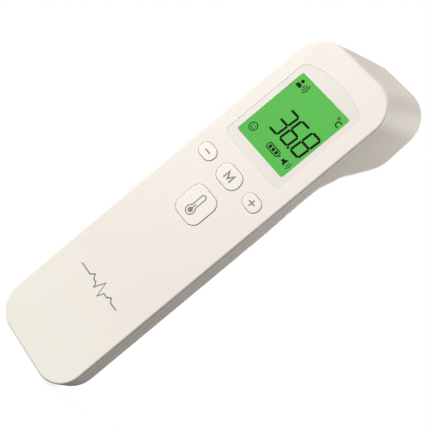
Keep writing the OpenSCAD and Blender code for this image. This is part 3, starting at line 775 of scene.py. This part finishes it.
def make_pulse_mark():
    """A plain heartbeat line low on the face."""
    z, side, stroke = 34.3, 11.0, 0.46
    ink = Print("pulse_mark", 0.006, 0.02)
    ink.line([(-side, z), (-5.6, z), (-4.4, z + 1.5), (-3.2, z), (-1.9, z), (-0.9, z - 1.5),
              (0.8, z + 2.7), (2.4, z - 2.5), (3.4, z), (5.2, z), (6.4, z + 1.2), (7.6, z),
              (side, z)], stroke)
    return ink.build()


# ---- sensor
def make_nozzle():
    """The ring pressed into the horn: a collar at the mouth and a funnel down to the throat."""
    mouth_r, collar_r, collar_t, body_r, throat_r, length = 8.6, 11.6, 0.9, 10.3, 5.2, 8.5
    profile = soften([(mouth_r, 0.0), (collar_r, 0.0), (collar_r, collar_t), (body_r, collar_t),
                      (body_r, length), (throat_r, length), (throat_r, length - 1.5),
                      (mouth_r - 0.4, 1.0)], [0.5, 0.3, 0.1, 0.1, 0.2, 0.15, 0.5, 0.8], 6)
    return shade(turned("nozzle_ring", profile, 128), 40)


def make_sensor_can():
    """The sensor's metal can: an aperture in front and a brim at the back."""
    front, r, brim_r, hole_r, sheet = 10.2, 4.1, 4.6, 1.3, 0.3
    brim, back = front + 3.7, front + 4.1
    profile = soften([(hole_r, front), (r, front), (r, brim), (brim_r, brim), (brim_r, back),
                      (r - sheet, back), (r - sheet, front + sheet), (hole_r, front + sheet)],
                     [0.08, 0.5, 0.15, 0.1, 0.1, 0, 0.2, 0.08], 6)
    return shade(turned("sensor_cap", profile, 96), 40)


# ---- batteries
def upright(x, y, z, rise):
    """Where turned() puts its points round a vertical axis that starts at x, y, z."""
    return lambda r, a, s: (x + r * math.cos(a), y + r * math.sin(a), z + s * rise)


def make_cell(name, node, flipped):
    """A cell from its dished base to its button; a flipped one stands on its button."""
    low, high = box_mm(node)
    x, y = (low[0] + high[0]) / 2, (low[1] + high[1]) / 2
    r, length, nub_r, nub = (high[0] - low[0]) / 2, high[2] - low[2], 1.9, 0.8
    top = length - nub
    body = soften([(0, 0.15), (3.6, 0.15), (3.9, 0.0), (r - 0.35, 0.0), (r, 0.35),
                   (r, top - 0.35), (r - 0.3, top), (2.6, top - 0.1), (nub_r, top - 0.1),
                   (nub_r, length - 0.15), (nub_r - 0.2, length), (0, length)],
                  [0, 0.1, 0.1, 0.3, 0.3, 0.3, 0.2, 0.1, 0.1, 0.1, 0.1, 0], 4, closed=False)
    axis = upright(x, y, high[2], -1) if flipped else upright(x, y, low[2], 1)
    return shade(turned(name, body, 72, axis), 40)


def coil(x, y, z0, z1, r0=3.2, r1=2.2, turns=5.5):
    """Centre line of a battery spring. Its first and last turns lie flat, as on a ground one."""
    flat = 0.7
    points = []
    steps = int(turns * 28)
    for i in range(steps + 1):
        t = i / steps
        rise = min(max((t * turns - flat) / (turns - 2 * flat), 0), 1)
        a = 2 * math.pi * turns * t
        r = mixed(r0, r1, t)
        points.append((x + r * math.cos(a), y + r * math.sin(a), mixed(z0, z1, rise)))
    return points


def make_contacts():
    """The sheet contacts and springs of the bay, as (piece, CAD node) pairs."""
    sheet, wire = 0.4, 0.32
    left, right = box_mm("battery_left"), box_mm("battery_right")
    left_x, right_x = (left[0][0] + left[1][0]) / 2, (right[0][0] + right[1][0]) / 2
    cell_y = (left[0][1] + left[1][1]) / 2

    def contact(name, node, above):
        low, high = box_mm(node)
        z = high[2] - sheet if above else low[2]
        outline = rounded(low[0], high[0], low[1], high[1], 0.8, 0.8, 6)
        return loft(name, [[(x, y, k) for x, y in outline] for k in (z, z + sheet)]), low, high

    def spring(name, x, z0, z1):
        return shade(tube(name, coil(x, cell_y, z0, z1), wire), 60)

    def add_dome(piece, profile, x, z, rise):
        combine(piece, "UNION", [turned("dome", profile, 40, upright(x, cell_y, z, rise))])

    # the bridge: a spring under the left cell, a dimple under the right one
    bridge, low, high = contact("contact_bridge", "battery_bridge", False)
    bridge_spring = spring("spring", left_x, low[2] + sheet + wire * 0.8, left[0][2] - wire)
    add_dome(bridge, [(0, 0), (1.9, 0), (1.7, 0.45), (1.3, 0.75), (0.7, 0.83), (0, 0.85)],
             right_x, low[2] + sheet * 0.4, 0.75)
    negative, low, high = contact("contact_negative", "battery_contact_negative", True)
    negative_spring = spring("spring_negative", right_x, high[2] - sheet - wire * 0.8,
                             right[1][2] + wire)
    positive, low, high = contact("contact_positive", "battery_contact_positive", True)
    top, dome_h = high[2] - sheet * 0.6, 1.02
    add_dome(positive, [(0, 0), (2.1, 0), (1.9, 0.5), (1.4, 0.85), (0.7, 1.0), (0, dome_h)],
             left_x, top, (low[2] - top) / dome_h)
    return [(shade(bridge, 40), "battery_bridge"), (bridge_spring, None),
            (shade(negative, 40), "battery_contact_negative"), (negative_spring, None),
            (shade(positive, 40), "battery_contact_positive")]


def make_casing_screws():
    """Pan-head screws with a cross recess, at each of the casing's screw posts."""
    low, high = box_mm("casing_screws")
    back, length = high[1] - FACE_Y, high[1] - low[1]
    head_r, head_t, shank_r = 2.1, 1.2, 1.0
    profile = soften([(0, 0), (head_r - 0.1, 0.05), (head_r, head_t), (shank_r, head_t),
                      (shank_r, length - 0.5), (0.3, length), (0, length)],
                     [0, 0.45, 0.1, 0.1, 0.3, 0.1, 0], 5, closed=False)
    screws = []
    for x, z in SCREW_AT:
        screw = turned("screw" if screws else "casing_screw_set", profile, 48, lambda r, a, s: (
            x + r * math.cos(a), y_at(back - s), z + r * math.sin(a)))
        cutters = []
        for step in (1, -1):  # the recess narrows inwards
            rings = []
            for f, arm in ((back + 0.2, (1.25, 0.24)), (back - 0.9, (0.6875, 0.2))):
                a, b = arm[::step]
                rings.append(flat_ring(rectangle(x - a, x + a, z - b, z + b), f))
            cutters.append(loft("cross", rings))
        screws.append(combine(screw, "DIFFERENCE", cutters))
    return shade(combine(screws[0], "UNION", screws[1:]), 35)


# ---- materials
def node_material(name):
    material = bpy.data.materials.new(name)
    material.use_nodes = True
    tree = material.node_tree
    shader = next(n for n in tree.nodes if n.type == "BSDF_PRINCIPLED")
    return material, tree, shader


def feed(node, **values):
    """Sets inputs by name, with _ for each space. A node's output is linked to the input."""
    for key, value in values.items():
        socket = node.inputs[key.replace("_", " ")]
        if isinstance(value, bpy.types.NodeSocket):
            node.id_data.links.new(value, socket)
        else:
            socket.default_value = value
    return node


def add(tree, kind, **values):
    return feed(tree.nodes.new("ShaderNode" + kind), **values)


def noise(tree, scale, detail=3.0, rough=0.5, stretch=(1, 1, 1)):
    """Noise in the object's own coordinates; scale is in features per metre."""
    where = add(tree, "TexCoord").outputs["Object"]
    stretched = add(tree, "Mapping", Vector=where, Scale=stretch).outputs["Vector"]
    return add(tree, "TexNoise", Vector=stretched, Scale=scale, Detail=detail,
               Roughness=rough).outputs["Fac"]


def height_share(tree, low, high):
    """How far up a point is between two heights of the object, in metres."""
    where = add(tree, "TexCoord").outputs["Object"]
    height = add(tree, "SeparateXYZ", Vector=where).outputs["Z"]
    return add(tree, "MapRange", Value=height, From_Min=low, From_Max=high).outputs["Result"]


def plus_part(tree, base, extra, part):
    """base + extra * part"""
    node = add(tree, "Math")
    node.operation = "MULTIPLY_ADD"
    tree.links.new(extra, node.inputs[0])
    node.inputs[1].default_value = part
    tree.links.new(base, node.inputs[2])
    return node.outputs["Value"]


def ramp(tree, source, low, high, at=(0.3, 0.7)):
    """Blends two colours as a value goes from one stop to the other."""
    node = add(tree, "ValToRGB", Fac=source)
    for element, stop, colour in zip(node.color_ramp.elements, at, (low, high)):
        element.position, element.color = stop, (*colour, 1)
    return node.outputs["Color"]


def finish_surface(tree, shader, rough, rough_scale, bump_scale, bump, detail=3.0,
                   distance=0.00005, stretch=(1, 1, 1)):
    """Varies the roughness between two values and adds a fine bump."""
    patches = noise(tree, rough_scale, 4.0, 0.6, stretch)
    levels = ramp(tree, patches, [rough[0]] * 3, [rough[1]] * 3)
    grain = noise(tree, bump_scale, detail, 0.55, stretch)
    relief = add(tree, "Bump", Strength=bump, Distance=distance, Height=grain)
    feed(shader, Roughness=levels, Normal=relief.outputs["Normal"])


def simple(name, low, high, rough, colour_scale, bump_scale, bump, stretch=(1, 1, 1), **inputs):
    """Two close tones, a varied roughness and a fine bump; the other inputs go to the shader."""
    material, tree, shader = node_material(name)
    tint = noise(tree, colour_scale, 4.0, 0.55, stretch)
    feed(shader, Base_Color=ramp(tree, tint, low, high), **inputs)
    finish_surface(tree, shader, rough, colour_scale * 3, bump_scale, bump, stretch=stretch)
    return material


def casing_material():
    """Satin moulded ABS: a fine spark-eroded grain, and a cooler, yellower tone towards the foot."""
    material, tree, shader = node_material("casing_abs")
    tone = plus_part(tree, height_share(tree, 0.012, 0.055), noise(tree, 35, 3.0, 0.5), 0.5)
    colour = ramp(tree, tone, (0.865, 0.84, 0.765), (0.86, 0.807, 0.748), (0.2, 1.15))
    feed(shader, Base_Color=colour, IOR=1.5, Specular_IOR_Level=0.4)
    finish_surface(tree, shader, (0.40, 0.52), 120, 4200, 0.10, detail=2.0, distance=0.00003)
    return material


def lcd_material():
    """Backlit liquid crystal: an even green glow, a little brighter towards the top. The glow also
    holds painted light: the lamp light that the display would reflect is painted into it, so its
    body stays nearly black and shows no shade from the film's edge.
    """
    material, tree, shader = node_material("lcd_glow_and_painted_light")
    height = height_share(tree, float(LCD_Z[0] * MM), float(LCD_Z[1] * MM))
    cloud = noise(tree, 120, 3.0, 0.5)
    glow = ramp(tree, plus_part(tree, height, cloud, 0.35), (0.120, 0.560, 0.098),
                (0.128, 0.570, 0.103), (0.1, 1.1))
    body = ramp(tree, cloud, (0.001, 0.006, 0.001), (0.002, 0.009, 0.001))
    # painted light: the emission is raised to stand for the lamp light that the display would
    # reflect
    feed(shader, Emission_Color=glow, Emission_Strength=0.97, Specular_IOR_Level=0.02,
         Base_Color=body)
    finish_surface(tree, shader, (0.18, 0.26), 300, 3000, 0.02)
    return material


def jacket_material():
    """Printed shrink jacket of a plain cell: blue with one pale band, no lettering."""
    material, tree, shader = node_material("cell_jacket")
    low, high = box_mm("battery_left")
    height = height_share(tree, float(low[2] * MM), float(high[2] * MM))
    bands = add(tree, "ValToRGB", Fac=height)
    bands.color_ramp.interpolation = "CONSTANT"
    blue, pale = (0.03, 0.10, 0.30, 1), (0.62, 0.63, 0.62, 1)
    elements = bands.color_ramp.elements
    elements[0].position, elements[0].color = 0.0, blue
    elements[1].position, elements[1].color = 0.72, pale
    elements.new(0.76).color = blue
    feed(shader, Base_Color=bands.outputs["Color"], Metallic=0.35, Coat_Weight=0.6,
         Coat_Roughness=0.1)
    finish_surface(tree, shader, (0.22, 0.34), 200, 2600, 0.05)
    return material


MATERIALS = {
    "casing": casing_material(),
    "lcd_green": lcd_material(),
    "cell_jacket": jacket_material(),
    "clear_window": simple(
        "window_acrylic", (0.04, 0.045, 0.04), (0.06, 0.065, 0.06), (0.04, 0.08), 40, 900, 0.01,
        Alpha=0.03, Specular_IOR_Level=0.2),
    "circuit_board": simple(
        "solder_mask", (0.012, 0.085, 0.03), (0.02, 0.12, 0.045), (0.22, 0.4), 220, 1500, 0.12,
        Coat_Weight=0.3, Coat_Roughness=0.12),
    "brass_sleeve": simple(
        "brass", (0.72, 0.52, 0.22), (0.80, 0.60, 0.28), (0.2, 0.38), 200, 2600, 0.1,
        Metallic=1.0, stretch=(1, 1, 4)),
    "silicon": simple(
        "silicon_filter", (0.05, 0.055, 0.075), (0.09, 0.095, 0.12), (0.06, 0.14), 500, 5000,
        0.02, Metallic=0.6),
    "grey_rubber": simple(
        "rubber_zebra", (0.20, 0.205, 0.21), (0.30, 0.305, 0.31), (0.55, 0.7), 900, 4200, 0.2,
        stretch=(6, 1, 1)),
    "clamp_black": simple(
        "glass_filled_nylon", (0.02, 0.02, 0.022), (0.05, 0.05, 0.053), (0.45, 0.65), 500, 5000,
        0.3, stretch=(1, 3, 1)),
    "lcd_ink": simple(
        "lcd_segment", (0.002, 0.005, 0.002), (0.004, 0.009, 0.004), (0.5, 0.6), 500, 3000, 0.02,
        Specular_IOR_Level=0.05),
}
# slot, name, two tones, roughness from and to, scale of the patches and of the grain, bump
METALS = (
    ("nickel", "nickel_plate", (0.62, 0.60, 0.56), (0.72, 0.70, 0.66), (0.2, 0.36), 150, 2200,
     0.08),
    ("screw_steel", "zinc_steel", (0.55, 0.55, 0.56), (0.68, 0.68, 0.69), (0.24, 0.42), 300, 3000,
     0.15),
    ("gold_pin", "gold_plate", (0.90, 0.66, 0.27), (0.95, 0.72, 0.33), (0.15, 0.28), 500, 4000,
     0.05),
    ("sensor_metal", "sensor_can_metal", (0.66, 0.65, 0.62), (0.76, 0.75, 0.72), (0.16, 0.3), 260,
     3200, 0.06),
)
PLAIN = (
    ("key", "key_abs", (0.85, 0.81, 0.755), (0.87, 0.83, 0.775), (0.36, 0.44), 90, 3800, 0.06),
    ("white_film", "film_print", (0.865, 0.83, 0.775), (0.88, 0.845, 0.79), (0.40, 0.5), 50, 2500,
     0.03),
    ("chip_black", "chip_epoxy", (0.012, 0.012, 0.013), (0.03, 0.03, 0.032), (0.45, 0.6), 400,
     6000, 0.25),
    ("ceramic_chip", "ceramic", (0.40, 0.27, 0.13), (0.52, 0.37, 0.2), (0.3, 0.5), 800, 5000, 0.1),
    ("black_rubber", "rubber_black", (0.018, 0.018, 0.019), (0.035, 0.035, 0.037), (0.6, 0.8),
     300, 4200, 0.3),
    ("white_frame", "frame_abs", (0.80, 0.80, 0.78), (0.85, 0.85, 0.83), (0.4, 0.5), 90, 3500,
     0.08),
    ("light_guide", "light_guide", (0.70, 0.86, 0.62), (0.80, 0.93, 0.72), (0.1, 0.2), 120, 2500,
     0.05),
    ("led_yellow_green", "led_resin", (0.62, 0.86, 0.30), (0.75, 0.93, 0.45), (0.12, 0.22), 600,
     3000, 0.05),
    ("nozzle", "nozzle_abs", (0.78, 0.76, 0.72), (0.83, 0.81, 0.77), (0.3, 0.42), 110, 3600, 0.07),
    ("wire_red", "pvc_red", (0.50, 0.02, 0.015), (0.62, 0.035, 0.025), (0.35, 0.5), 300, 2600, 0.1),
    ("wire_black", "pvc_black", (0.015, 0.015, 0.016), (0.03, 0.03, 0.032), (0.35, 0.5), 300,
     2600, 0.1),
    ("wire_mixed", "pvc_white", (0.62, 0.60, 0.55), (0.72, 0.70, 0.65), (0.35, 0.5), 300, 2600,
     0.1),
    ("ink", "printed_grey", (0.15, 0.15, 0.14), (0.21, 0.21, 0.20), (0.45, 0.6), 900, 5000, 0.05),
)
for slot_name, *look in METALS:
    MATERIALS[slot_name] = simple(*look, Metallic=1.0)
for slot_name, *look in PLAIN:
    MATERIALS[slot_name] = simple(*look)


# ---- assembly
def place(obj, body, slot_name=None, nodes=(), material=None):
    """Gives a piece its material, chosen by slot or by name, puts it on its body and hides the CAD
    nodes it stands for.
    """
    obj.data.materials.clear()
    obj.data.materials.append(MATERIALS[material or slot_name])
    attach(obj, body)
    if nodes:
        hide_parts(*nodes)
    return obj


place(make_front_shell(), "casing", "casing", ["front_casing"])
place(make_rear_shell(), "casing", "casing", ["rear_casing"])
place(make_door(), "battery_door", "door", ["battery_door"], material="casing")

pane = shade(plate("window_pane", pane_outline, PANE_FRONT, PANE_FRONT + PANE_SKIN, 0.02), 40)
place(pane, "casing", "clear_window", ["display_window"])
place(shade(make_film(), 30), "casing", "white_film", ["window_gasket"])
glass = plate("lcd_glass", lambda g: rounded(glass_low[0] - g, glass_high[0] + g, glass_low[2] - g,
                                             glass_high[2] + g, 0.3, 0.3, 5),
              GLASS_FRONT, glass_high[1] - FACE_Y, 0.08)
place(shade(glass, 40), "casing", "lcd_green", ["lcd_panel"])
place(make_lcd_marks(), "casing", material="lcd_ink")
place(make_pulse_mark(), "casing", material="ink")

for key_name in KEYS:
    body = key_name + "_key"
    place(make_cap(key_name), body, "key", [key_name + "_button"])
    place(key_mark(key_name), body, material="ink")

place(make_nozzle(), "casing", "nozzle", ["sensor_nozzle"])
place(make_sensor_can(), "casing", "sensor_metal", ["sensor_can"])
for side, flipped in (("left", False), ("right", True)):
    cell = make_cell("cell_" + side, "battery_" + side, flipped)
    place(cell, "casing", "cell_jacket", ["battery_" + side])
    cell.data.materials.append(MATERIALS["nickel"])
    low, high = box_mm("battery_" + side)
    bare_r = 4.9  # the jacket ends at this radius on the end faces
    for face in cell.data.polygons:
        out = np.array(face.center)[:2] / MM - (low + high)[:2] / 2
        if np.linalg.norm(out) < bare_r:
            face.material_index = 1
for piece, node in make_contacts():
    place(piece, "casing", "nickel", [node] if node else ())
place(make_casing_screws(), "casing", "screw_steel", ["casing_screws"])

# The CAD nodes that stay get their own finish
slot_of = {sub["node"]: sub["material_slot"] for sub in frame["record"].get("subparts", [])}
for node, obj in frame["nodes"].items():
    if obj.hide_render:
        continue
    finish = MATERIALS.get(slot_of.get(node, ""), MATERIALS["white_frame"])
    if not obj.data.materials:
        obj.data.materials.append(finish)
    for i in range(len(obj.material_slots)):
        obj.material_slots[i].material = finish

# ---- stage, light and camera
scene = bpy.context.scene
low, high = (Vector(v) for v in cad_bounds)
middle = (low + high) / 2


def for_camera(tree, seen, otherwise=None):
    """One shader for what the camera sees directly, another one or none for all other light."""
    gate = add(tree, "MixShader", Fac=add(tree, "LightPath").outputs["Is Camera Ray"])
    if otherwise:
        tree.links.new(otherwise, gate.inputs[1])
    tree.links.new(seen, gate.inputs[2])
    return gate.outputs["Shader"]


floor_mesh = bpy.data.meshes.new("floor")
half = 0.6
floor_mesh.from_pydata([(-half, -half, 0), (half, -half, 0), (half, half, 0), (-half, half, 0)],
                       [], [(0, 1, 2, 3)])
floor = bpy.data.objects.new("floor", floor_mesh)
scene.collection.objects.link(floor)
floor.location.z = low.z - 0.0002
floor_paint, tree, shader = node_material("floor_paper")
tone = ramp(tree, noise(tree, 9, 3.0), (0.27, 0.27, 0.27), (0.29, 0.29, 0.29))
feed(shader, Base_Color=tone, Roughness=0.9, Specular_IOR_Level=0.1)
# the camera sees the sheet lit evenly; the glow never falls on the thermometer
glow = for_camera(tree, add(tree, "Emission", Strength=0.85).outputs["Emission"])
both = add(tree, "AddShader")
tree.links.new(shader.outputs["BSDF"], both.inputs[0])
tree.links.new(glow, both.inputs[1])
output = next(n for n in tree.nodes if n.type == "OUTPUT_MATERIAL")
feed(output, Surface=both.outputs["Shader"])
floor_mesh.materials.append(floor_paint)

world = bpy.data.worlds.new("studio")
scene.world = world
world.use_nodes = True
tree = world.node_tree
tree.nodes.clear()
seen = add(tree, "Background", Color=(1, 1, 1, 1), Strength=1.0).outputs["Background"]
lit = add(tree, "Background", Color=(1.0, 0.99, 0.97, 1), Strength=0.04).outputs["Background"]
add(tree, "OutputWorld", Surface=for_camera(tree, seen, lit))


def softbox(name, place_at, size, power, colour=(1, 1, 1), target=(0, 0, 0)):
    light = bpy.data.lights.new(name, "AREA")
    light.shape = "RECTANGLE"
    light.size, light.size_y = size
    light.energy = power
    light.color = colour
    obj = bpy.data.objects.new(name, light)
    scene.collection.objects.link(obj)
    obj.location = middle + Vector(place_at)
    aim = middle + Vector(target) - obj.location
    obj.rotation_euler = aim.to_track_quat("-Z", "Y").to_euler()
    return obj


softbox("front_light", (-1.65, -1.8, 0.52), (1.35, 1.2), 82.0, (1.0, 0.985, 0.965))
softbox("top_light", (-0.2, 0.3, 1.6), (1.6, 1.6), 1.0)
softbox("rim_light", (0.30, 0.45, 0.50), (0.4, 0.4), 0.7, (1.0, 0.99, 0.97), (0, 0, 0.09))
softbox("side_light", (0.22, 0.05, 0.22), (0.16, 0.16), 0.49, (1.0, 0.99, 0.97), (0, 0, 0.12))
softbox("back_light", (-0.5, 1.4, 0.12), (1.0, 0.4), 8.0)

# The viewpoint: from the object's right, rolled so that the handle lies across the picture
VIEW_YAW, VIEW_PITCH, VIEW_ROLL = -21.7, 1.52, -50.17
VIEW_DISTANCE, VIEW_PAN = 0.260, (-0.00799, 0.00227)
pivot = Vector((0.0, FACE_Y * MM, 0.0763))
stand_up = Matrix(((1, 0, 0, 0), (0, 0, 1, 0), (0, -1, 0, 0), (0, 0, 0, 1)))
to_camera = (Matrix.Translation((VIEW_PAN[0], VIEW_PAN[1], -VIEW_DISTANCE))
             @ Matrix.Rotation(math.radians(VIEW_ROLL), 4, "Z")
             @ Matrix.Rotation(math.radians(VIEW_PITCH), 4, "X")
             @ Matrix.Rotation(math.radians(VIEW_YAW), 4, "Y")
             @ stand_up @ Matrix.Translation(-pivot))
camera_data = bpy.data.cameras.new("camera")
camera_data.sensor_width = 36.0
camera_data.lens = 63.2
camera_data.clip_start, camera_data.clip_end = 0.02, 20.0
camera = bpy.data.objects.new("camera", camera_data)
scene.collection.objects.link(camera)
camera.matrix_world = to_camera.inverted()
scene.camera = camera
scene.view_settings.view_transform = "Standard"
scene.view_settings.look = "None"
